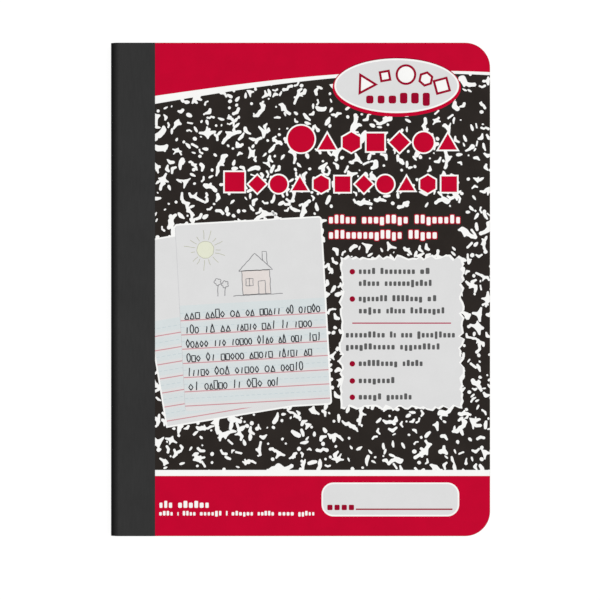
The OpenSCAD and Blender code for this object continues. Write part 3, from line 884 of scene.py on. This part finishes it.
def front_covered(x, y):
    """Where no fleck starts: well under the labels and the bands, and about the two rows under the title."""
    hide = 2.5
    if y < TAIL_STRIPE - hide or y > band_edge(x, HEAD_STRIPE, HEAD_STRIPE_RISE) + hide:
        return True
    if ((x - OVAL_X) / (OVAL_RX - hide)) ** 2 + ((y - OVAL_Y) / (OVAL_RY - hide)) ** 2 < 1:
        return True
    for cx, cy, turn, width, height in CLEAR_BOXES:
        (along, up), = turned([(x - cx, y - cy)], 0, 0, -turn)
        if abs(along) < width / 2 - hide and abs(up) < height / 2 - hide:
            return True
    return False


def words(x, y, length, height, pitch, chance, groups=()):
    """Rounded blocks that stand for a row's words, in groups of the given lengths and one more to the end.
    Height is that of a low block."""
    blocks = []
    end = x + length
    for group in (*groups, None):
        width = group or end - x
        count = max(1, round(width / pitch))
        step = width / count
        for i in range(count):
            top = chance.choice((1.0, 1.0, 1.0, 1.35)) * height
            foot = -0.3 * height if chance.random() < 0.1 else 0.0
            wide = step * chance.uniform(0.6, 0.73)
            middle = y - height / 2 + (top + foot) / 2
            blocks.append(round_box(x + step * (i + 0.4), middle, wide, top - foot, 0.25 * wide, 2))
        x += width + 0.9 * pitch
    return blocks


def title_shape(kind, size, extra=0.0):
    """Disc, square, triangle, diamond or hexagon, grown by extra on all sides."""
    sides, share, start, sink, corner = TITLE_SHAPES[kind]
    radius = share * size + corner * extra
    return ellipse(0, -sink * size, radius, radius, sides, start)


def add_bands(stock, reds):
    overlap = 0.4
    right, top, radius = FORE_X - EDGE_WEAR, HEAD_Y - EDGE_WEAR, CORNER_R - EDGE_WEAR
    upper = band_curve(HEAD_BAND, HEAD_BAND_RISE)
    stripe = band_curve(HEAD_STRIPE, HEAD_STRIPE_RISE)
    corner = arc(right - radius, top - radius, radius, 0, 90, 16)
    stock.lay(stripe + [(x, y + overlap) for x, y in upper[::-1]], 2)
    stock.lay(box(PRINT_X, TAIL_BAND - overlap, right, TAIL_STRIPE), 2)
    reds.lay(upper + corner + [(PRINT_X, top)], 3)
    reds.lay([(PRINT_X, -top)] + mirrored(corner) + [(right, TAIL_BAND), (PRINT_X, TAIL_BAND)], 3)
    chance = random.Random(3)
    for length, y, height, pitch, groups in TAIL_ROWS:
        for block in words(TAPE_X + 2.0, y, length, height, pitch, chance, groups):
            stock.lay(block, 4)


def add_oval(stock, reds, labels):
    for shell, drop_by, grown, level, finish in (
            (reds, 0.0, 0.5, 4, DARK_RED_INK), (reds, 0.9, 0.9, 5, RED_INK),
            (stock, 0.0, 0.0, 6, WHITE_STOCK), (labels, 0.0, -0.9, 7, GREY_INK)):
        shell.lay(ellipse(OVAL_X, OVAL_Y - drop_by, OVAL_RX + grown, OVAL_RY + grown), level, finish)
    for kind, size, x, y, turn in OVAL_MARKS:
        place = (OVAL_X + x, OVAL_Y + y, turn)
        reds.lay(turned(title_shape(kind, size), *place), 8, DARK_RED_INK)
        stock.lay(turned(title_shape(kind, size, -1.15), *place), 8.4)
    for block in words(OVAL_X - 15.8, OVAL_Y - 6.9, 34.0, 4.0, 5.6, random.Random(8)):
        reds.lay(block, 8, DARK_RED_INK)


def add_title(stock, reds):
    for count, pitch, small, middle, tall in TITLE_ROWS:
        for i in range(count):
            x, y = TITLE_X - pitch * (i + 0.5), middle
            kind = (3 * i + count) % 5
            size = small
            if i == count - 1:
                size, x, y = tall, x - 0.3 * (tall - small), middle + (tall - small) / 2
            stock.lay(turned(title_shape(kind, size, OUTLINE), x, y), 2)
            reds.lay(turned(title_shape(kind, size), x, y), 3)
    edge = 0.38
    for length, y, groups in SUBTITLE_ROWS:
        for block in words(SUBTITLE_X, y, length, SUBTITLE_H, 2.9, random.Random(4), groups):
            cx, cy = middle_of(block)
            edged = [(x + copysign(edge, x - cx), y + copysign(edge, y - cy)) for x, y in block]
            reds.lay(edged, 1.5)
            stock.lay(block, 2)


def add_panel(stock, ground, reds, labels):
    rim = 1.8
    torn = ragged_box((PANEL_W + 2.2) / 2, (PANEL_H + 1.4) / 2, 1.9, 1.3, 12)
    stock.lay(turned(torn, PANEL_X, PANEL_Y), 2)
    grey = [(x * (1 - rim / PANEL_W), y * (1 - rim / PANEL_H)) for x, y in torn]
    labels.lay(turned(grey, PANEL_X, PANEL_Y), 3)
    chance = random.Random(6)
    left = PANEL_X - PANEL_W / 2
    for up, length, bulleted, groups in PANEL_ROWS:
        start = left + (7.9 if up > 0 or bulleted else 1.4)
        for block in words(start, PANEL_Y + up, length, 2.3, 2.2, chance, groups):
            ground.lay(block, 4, WORD_INK)
        if bulleted:
            reds.lay(ellipse(left + 4.8, PANEL_Y + up, 1.4, 1.4, 20), 4, DARK_RED_INK)
    reds.lay(box(PANEL_X - 24.7, PANEL_Y + 4.5, PANEL_X + 24.9, PANEL_Y + 5.1), 4, DIVIDER_RED)


def drill_word(width, height, chance):
    """A drawing drill that stands for a handwritten word: small outlined shapes and bars on the base line."""
    count = max(1, round(width / 2.35))
    step = width / count
    half = 0.37 * step
    strokes = []
    for k in range(count):
        x = step * (k + 0.5)
        tall = height * chance.choice((1.0, 1.0, 1.0, 1.4))
        shapes = [
            closed(ellipse(x, tall / 2, half, tall / 2, 12)), closed(box(x - half, 0.0, x + half, tall)),
            closed([(x - half, 0.0), (x + half, 0.0), (x, tall)]),
            closed([(x, 0.0), (x + half, tall / 2), (x, tall), (x - half, tall / 2)]),
            [(x - 0.2, 0.0), (x + 0.2, tall)]]
        strokes.append(wobbly(chance.choice(shapes), chance, 0.9, 0.07))
    return strokes


def add_rules(at, level, reds, labels):
    """Rows of a primary sheet: a pale blue band with a broken middle line over each red base line."""
    left, right = -SHEET_W / 2, SHEET_W / 2
    dash, gap = 1.7, 1.1
    for i in range(RULES):
        y = -SHEET_H / 2 + RULE_FOOT + i * RULE_PITCH
        top = y + (7.6 if i == RULES - 1 else 6.1)
        labels.lay(turned(box(left, y + 1.5, right, top), *at), level, BAND_BLUE)
        for k in range(int(SHEET_W / (dash + gap))):
            x = left + (dash + gap) * k
            labels.lay(turned(box(x, y + 3.6, x + dash, y + 3.9), *at), level + 0.5, MIDLINE_BLUE)
        reds.lay(turned(box(left, y - 0.25, right, y + 0.25), *at), level + 0.5, RULE_RED)


def wobbly(points, chance, step=1.6, sway=0.16):
    """A hand-drawn line through the points."""
    path = []
    for (x0, y0), (x1, y1) in zip(points, points[1:]):
        steps = max(1, round(hypot(x1 - x0, y1 - y0) / step))
        path += [(x0 + (x1 - x0) * i / steps, y0 + (y1 - y0) * i / steps) for i in range(steps)]
    path.append(points[-1])
    return [(x + chance.uniform(-sway, sway), y + chance.uniform(-sway, sway)) for x, y in path]


def scallops(cx, cy, radius, bumps, depth):
    """The outline of a flower."""
    turns = [tau * i / (6 * bumps) for i in range(6 * bumps + 1)]
    return [around(cx, cy, a, radius * (1 + depth * abs(sin(bumps * a / 2)))) for a in turns]


def add_drawing(labels):
    """A plain pencil drawing on the sheet's bare half: a sun with its rays, a house and two flowers."""
    chance = random.Random(31)
    sun_x, sun_y, sun_r = -22.0, 33.7, 4.3
    foot_x, foot_y, wall, eaves, over = 2.6, 10.0, 7.0, 12.0, 8.6
    sun = ellipse(sun_x, sun_y, sun_r, sun_r, 24)
    front = box(-wall, 0.0, wall, eaves)
    labels.lay(turned(sun, *UPPER), 7.2, PENCIL_YELLOW)
    labels.lay(turned(turned(front, foot_x, foot_y), *UPPER), 7.2, PENCIL_WARM)
    rays = [closed(sun)]
    for i in range(15):
        a = tau * (i + chance.uniform(-0.2, 0.2)) / 15
        reaches = (sun_r + 0.9, sun_r + chance.uniform(3.0, 6.5))
        rays.append([around(sun_x, sun_y, a, reach) for reach in reaches])
    house = [
        closed(front), closed([(-over, eaves), (0.0, eaves + over), (over, eaves)]),
        [(1.0, 0.0), (1.0, 6.6), (4.4, 6.6), (4.4, 0.0)], closed(box(-5.2, 4.4, -1.6, 8.0)),
        [(-3.4, 4.4), (-3.4, 8.0)], [(3.8, 16.9), (3.8, 21.2), (6.0, 21.2), (6.0, 14.9)],
        [(-12.0, -0.3), (0.0, -0.2), (13.0, -0.4)]]
    for x, stem in ((-19.6, 5.6), (-16.0, 4.2)):
        house += [[(x, 0.0), (x + 0.3, stem)], scallops(x + 0.3, stem + 1.6, 1.3, 5, 0.4)]
    house = [turned(line, foot_x, foot_y) for line in house]
    for lines, width, finish in ((rays, 0.3, PENCIL_PALE), (house, 0.4, PENCIL)):
        for line in lines:
            labels.stroke(turned(wobbly(line, chance), *UPPER), width, 7.5, finish)


def add_sheets(stock, ground, reds, labels):
    half_w, half_h = SHEET_W / 2, SHEET_H / 2
    stock.lay(turned(sheet_box(half_w, half_h, OUTLINE), *LOWER), 2)
    stock.lay(turned(round_box(0, 0, SHEET_W + 2 * OUTLINE, SHEET_H + 2 * OUTLINE, 1.8), *UPPER), 2.5)
    labels.lay(turned(sheet_box(half_w, half_h), *LOWER), 3)
    add_rules(LOWER, 3.5, reds, labels)
    labels.lay(turned(box(-half_w - 0.25, 1.0 - half_h, half_w, half_h - 1.0), *UPPER), 5, SEAM_GREY)
    labels.lay(turned(round_box(0, 0, SHEET_W, SHEET_H, 1.0), *UPPER), 6)
    add_rules(UPPER, 6.4, reds, labels)
    add_drawing(labels)
    chance = random.Random(17)
    for row, end in enumerate(STORY_ENDS):
        x, y = 1.8 - half_w, -half_h + RULE_FOOT + (RULES - 1 - row) * RULE_PITCH + 0.6
        while x < end - 2.5:
            width = min(chance.uniform(3.5, 12.5), end - x)
            for stroke in drill_word(width, 3.0, chance):
                ground.stroke(turned(turned(stroke, x, y), *UPPER), 0.57, 7.6, STROKE_INK)
            x += width + 2.4


def add_name_label(stock, reds, labels):
    rim = round_box(NAME_X, NAME_Y, NAME_W + 2 * OUTLINE, NAME_H + 2 * OUTLINE, NAME_R + OUTLINE, 10)
    stock.lay(rim, 4)
    labels.lay(round_box(NAME_X, NAME_Y, NAME_W, NAME_H, NAME_R, 10), 5)
    line_y, half_line = NAME_Y - 4.9, 0.35
    left, right = NAME_X - NAME_W / 2 + 2.1, NAME_X + NAME_W / 2 - 2.6
    reds.lay(box(right - 48.5, line_y - half_line, right, line_y + half_line), 6, DARK_RED_INK)
    for i in range(4):
        reds.lay(round_box(left + 3.6 * i + 1.3, line_y + 0.9, 2.6, 2.7, 0.5, 3), 6, DARK_RED_INK)


# The pieces

def build_board(name, low, high, low_wear, high_wear, node):
    """Grey board under a printed sheet, its outer edge rubbed round. It stops short of the hinge, clear of
    the cloth there."""
    clear = 1.8
    shell = Shell(name, CHIPBOARD)
    shell.loft([
        [(x, y, z) for x, y in book_plan(HINGE_X + clear, inset)]
        for z, inset in ((low, low_wear), (low + low_wear, 0.0), (high - high_wear, 0.0), (high, high_wear))])
    return shell.piece("board", node)


def build_front_print():
    ground, stock = Shell("front_marble_ground", BLACK_INK), Shell("front_bare_stock", WHITE_STOCK)
    reds, labels = Shell("front_red_inks", RED_INK), Shell("front_labels", GREY_INK)
    ground.plate(PRINT_PLAN, BOARD_HIGH.z - LEVEL, FRONT_GROUND)
    add_bands(stock, reds)
    add_oval(stock, reds, labels)
    add_title(stock, reds)
    add_panel(stock, ground, reds, labels)
    add_sheets(stock, ground, reds, labels)
    add_name_label(stock, reds, labels)
    field = open_field(TAIL_STRIPE - 4, FRONT_GROUND + FLECK_REST, front_covered)
    return [
        ground.piece("black_ink", "front_black_print"),
        stock.piece("board"),
        reds.piece("red_ink", "front_red_print"),
        labels.piece("grey_ink", "front_grey_print"),
        flecks("front_marble", field, 34)]


def build_back_print():
    ground = Shell("back_marble_ground", BLACK_INK)
    ground.plate(PRINT_PLAN, BACK_GROUND, BACK_LOW.z + LEVEL)
    return [
        ground.piece("black_ink", "back_black_print"),
        flecks("back_marble", open_field(TAIL_Y, BACK_GROUND + FLECK_REST), 9)]


def unit_sheet():
    """A folded sheet of no size: its walls wait for the push that gives each copy its radius."""
    fold_steps = 12
    corner = arc(FORE_X - CORNER_R, HEAD_Y - CORNER_R, CORNER_R, 90, 0, 7)
    leg = [(FOLD_X, HEAD_Y)] + corner
    stations = [(x, half, 90.0) for x, half in leg[::-1]]
    stations += [(FOLD_X, HEAD_Y, 90.0 + 180.0 * i / fold_steps) for i in range(1, fold_steps)]
    stations += [(x, half, 270.0) for x, half in leg]
    points, outs, skins, fores = [], [], [], []
    for x, half, angle in stations:
        a = radians(angle)
        out = (cos(a) if 90 < angle < 270 else 0.0, 0.0, sin(a))
        for skin, y in ((1.0, half), (1.0, -half), (-1.0, -half), (-1.0, half)):
            points.append((x, y, MID_Z))
            outs += out
            skins.append(skin)
            fores.append(max(0.0, (x - FOLD_X) / (FORE_X - FOLD_X)) ** 8)
    mesh = plain_mesh("unit_sheet", points, tube(len(stations), 4))
    mesh.attributes.new("out", "FLOAT_VECTOR", "POINT").data.foreach_set("vector", outs)
    mesh.attributes.new("skin", "FLOAT", "POINT").data.foreach_set("value", skins)
    mesh.attributes.new("fore", "FLOAT", "POINT").data.foreach_set("value", fores)
    return mesh


def build_leaves():
    mesh = grow("leaves", unit_sheet(), sheet_tree(), {
        "Sheets": SHEETS, "Pitch": SHEET_PITCH * MM, "Thickness": SHEET_SHARE * SHEET_PITCH * MM,
        "Slip": 0.12 * MM, "Seed": 4, "Finish": LEAF_EDGE})
    outward(mesh)
    ruled = len(mesh.materials)
    mesh.materials.append(RULED_LEAF)
    for face in mesh.polygons:
        if abs(face.center.z / MM - MID_Z) > FOLD_R - SHEET_PITCH / 2 and abs(face.normal.z) > 0.99:
            face.material_index = ruled
    return piece("leaves", mesh, "leaves", "page_block")


def tape_profile():
    """The tape's profile, X and Z: out from the back of the spine to the end of its lap, then back inside."""
    centre = SPINE_X + TAPE_R
    hinge = atan2(TOP_Z - MID_Z, HINGE_X - centre)
    steps, near, near_steps, round_off = 20, 3.0, 12, 0.05
    turns = [pi + (hinge - pi) * i / steps for i in range(steps)]
    lap = TAPE_X - HINGE_X - near
    flat = [HINGE_X + near * i / near_steps for i in range(near_steps + 1)]
    flat += [HINGE_X + near + lap * share for share in (0.25, 0.5, 0.75)] + [TAPE_X - round_off]
    outer = [around(centre, MID_Z, a, TAPE_R) for a in turns] + [(x, TOP_Z) for x in flat]
    inner = [around(centre, MID_Z, a, TAPE_R - TAPE_T) for a in turns]
    inner += [(x, TOP_Z - TAPE_T) for x in flat + [TAPE_X]]
    return outer + [(TAPE_X, TOP_Z - round_off)] + inner[::-1]


def build_tape(name, side, node):
    """Half of the cloth tape, from mid-spine over a cover. Side is 1 in front, -1 at the back."""
    shell = Shell(name, TAPE_CLOTH)
    profile = tape_profile()
    sides, bands = len(profile), 24
    points = []
    for k in range(bands + 1):
        y = TAIL_Y + (HEAD_Y - TAIL_Y) * k / bands
        points += [(x, y, MID_Z + side * (z - MID_Z)) for x, z in profile]
    walls = tube(bands + 1, sides)[:-2]
    ends = [
        (first + i, first + sides - 1 - i, first + sides - 2 - i, first + i + 1)
        for first in (0, sides * bands) for i in range(sides // 2 - 1)]
    shell.add(points, walls + ends)
    made = shell.piece("cloth_tape", node)
    made.data.polygons.foreach_set("use_smooth", [True] * len(made.data.polygons))
    made.data.set_sharp_from_angle(angle=radians(35))
    return made


front_board = build_board("front_board", BOARD_LOW.z, BOARD_HIGH.z, INNER_WEAR, EDGE_WEAR, "front_cover")
back_board = build_board("back_board", BACK_LOW.z, BACK_HIGH.z, EDGE_WEAR, INNER_WEAR, "back_cover")
for made in [front_board] + build_front_print():
    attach(made, "front_cover")
for made in [back_board] + build_back_print():
    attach(made, "back_cover")

leaves = build_leaves()
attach(leaves, "block")

front_tape = build_tape("front_tape_half", 1, "front_tape")
back_tape = build_tape("back_tape_half", -1, "back_tape")
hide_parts("spine_tape")
for made, cover, z in ((front_tape, "front_cover", TOP_Z * MM), (back_tape, "back_cover", 0.0)):
    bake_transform(made)

for node, finish_material in (
        ("front_endpaper", ENDPAPER), ("back_endpaper", ENDPAPER), ("sewing_thread", COTTON)):
    carried = frame["nodes"][node]
    carried.data.materials.clear()
    carried.data.materials.append(finish_material)


# Floor, light and camera

FLOOR_HALF = 4000.0
FLOOR_GAP = 0.38
WORLD_SHARE = 0.3
LAMP_SHARE = 0.7
LAMP_TILT = 25.0


def white_floor():
    """Pale floor just under the opened back cover. Seen straight on or mirrored it is white, with a faint
    shadow, and from underneath it is clear."""
    graph = emptied(bpy.data.materials.new("white_floor"))
    matt = graph.node("ShaderNodeBsdfDiffuse", {"Color": (0.82, 0.82, 0.82, 1.0)})
    glow = graph.node("ShaderNodeEmission", {"Color": WHITE, "Strength": 1.08})
    both = graph.node("ShaderNodeMixShader", {0: graph.seen() * 0.88, 1: matt, 2: glow})
    under = graph.node("ShaderNodeNewGeometry").outputs["Backfacing"]
    clear = graph.node("ShaderNodeBsdfTransparent")
    shown = graph.node("ShaderNodeMixShader", {0: under, 1: both, 2: clear})
    graph.node("ShaderNodeOutputMaterial", {"Surface": shown})
    height = BOARD_LOW.z - BOARD_HIGH.z - FLOOR_GAP
    corners = [(x, y, height) for x, y in sheet_box(FLOOR_HALF, FLOOR_HALF)]
    floor = put("floor", plain_mesh("floor", corners, [(0, 1, 2, 3)], [graph.owner]))


def light():
    """An even white room with one broad lamp, tilted to the fore edge, so that the spine's side falls off
    dark. Together they show a colour about as it is written."""
    world = bpy.data.worlds.new("room")
    bpy.context.scene.world = world
    graph = emptied(world)
    strength = WORLD_SHARE + (1 - WORLD_SHARE) * graph.seen()
    room = graph.node("ShaderNodeBackground", {"Color": WHITE, "Strength": strength})
    graph.node("ShaderNodeOutputWorld", {"Surface": room})
    lamp = bpy.data.lights.new("overhead", "SUN")
    lamp.energy = pi * LAMP_SHARE / cos(radians(LAMP_TILT))
    lamp.angle = radians(40)
    put("overhead", lamp).rotation_euler = (0.0, radians(LAMP_TILT), radians(15))


def camera():
    """Straight above the cover, so far off that the book's sides stay out of sight."""
    distance, sensor, frame_w = 2.0, 36.0, 0.3011
    data = bpy.data.cameras.new("camera")
    data.sensor_width = sensor
    data.lens = sensor * distance / frame_w
    data.clip_end = 20.0
    holder = put("camera", data)
    holder.location = (-0.164 * MM, -5.32 * MM, TOP_Z * MM + distance)
    bpy.context.scene.camera = holder


white_floor()
light()
camera()
bpy.context.scene.view_settings.view_transform = "Standard"
